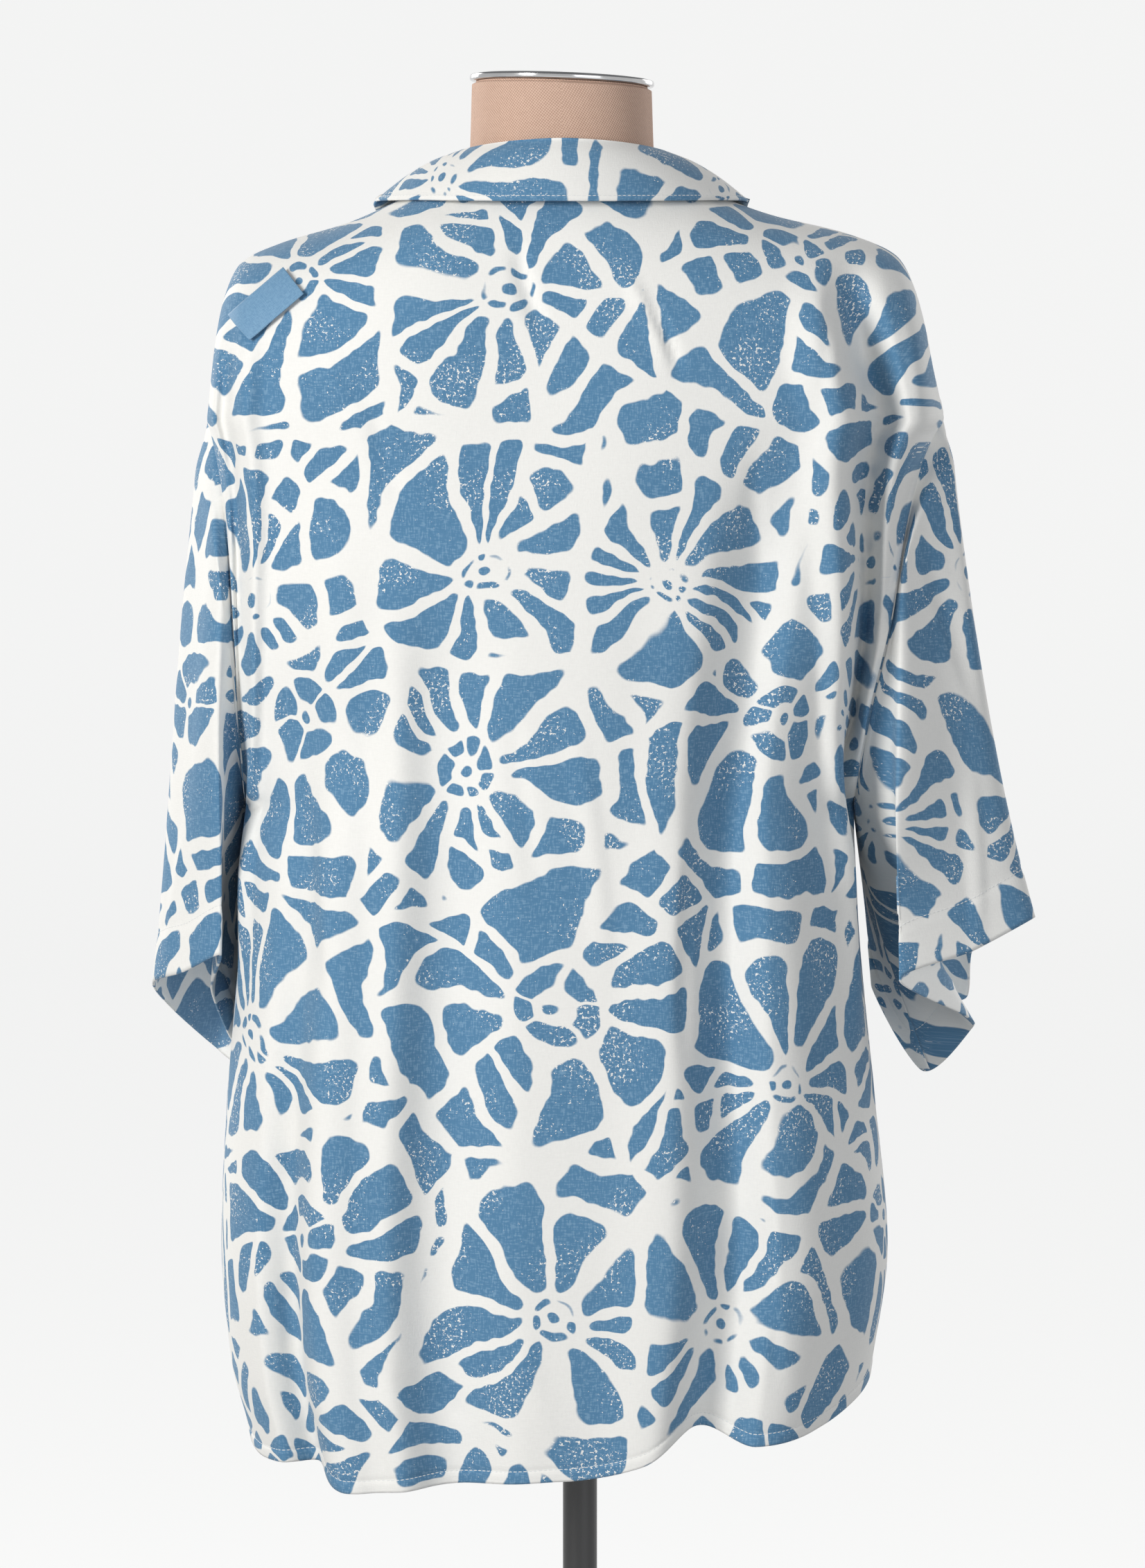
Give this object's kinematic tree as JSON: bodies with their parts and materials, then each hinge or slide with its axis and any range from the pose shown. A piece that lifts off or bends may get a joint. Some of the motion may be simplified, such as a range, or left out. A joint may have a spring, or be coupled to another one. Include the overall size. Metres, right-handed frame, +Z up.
{
  "type": "short-sleeve shirt on a dress form",
  "caption": "Loose short-sleeve shirt with an open flat collar, worn buttoned by a limbless padded dress form on a pole stand.",
  "frame": {"origin": "middle of the stand's underside, on the pole's axis, where it rests on the floor", "axes": "+Z up along the pole, +Y towards the back of the shirt, +X towards the wearer's left"},
  "size_m": [0.5365, 0.34, 1.4974],
  "materials": {
    "printed_cloth": "matt light woven cloth, white with a large blue flower print",
    "label_tape": "matt woven tape",
    "button": "satin",
    "form_linen": "coarse natural linen",
    "chrome": "polished",
    "black_metal": "satin black"
  },
  "bodies": {
    "root": {"back": "printed_cloth", "front_left": "printed_cloth", "front_right": "printed_cloth", "sleeve_left": "printed_cloth", "sleeve_right": "printed_cloth", "collar": "printed_cloth", "lapel_left": "printed_cloth", "lapel_right": "printed_cloth", "button_1": "button", "button_2": "button", "button_3": "button", "button_4": "button", "button_5": "button", "shoulder_label": "label_tape", "dress_form": "form_linen", "neck_cap": "chrome", "form_flange": "black_metal", "pole": "black_metal", "stand_base": "black_metal"}
  },
  "joints": []
}
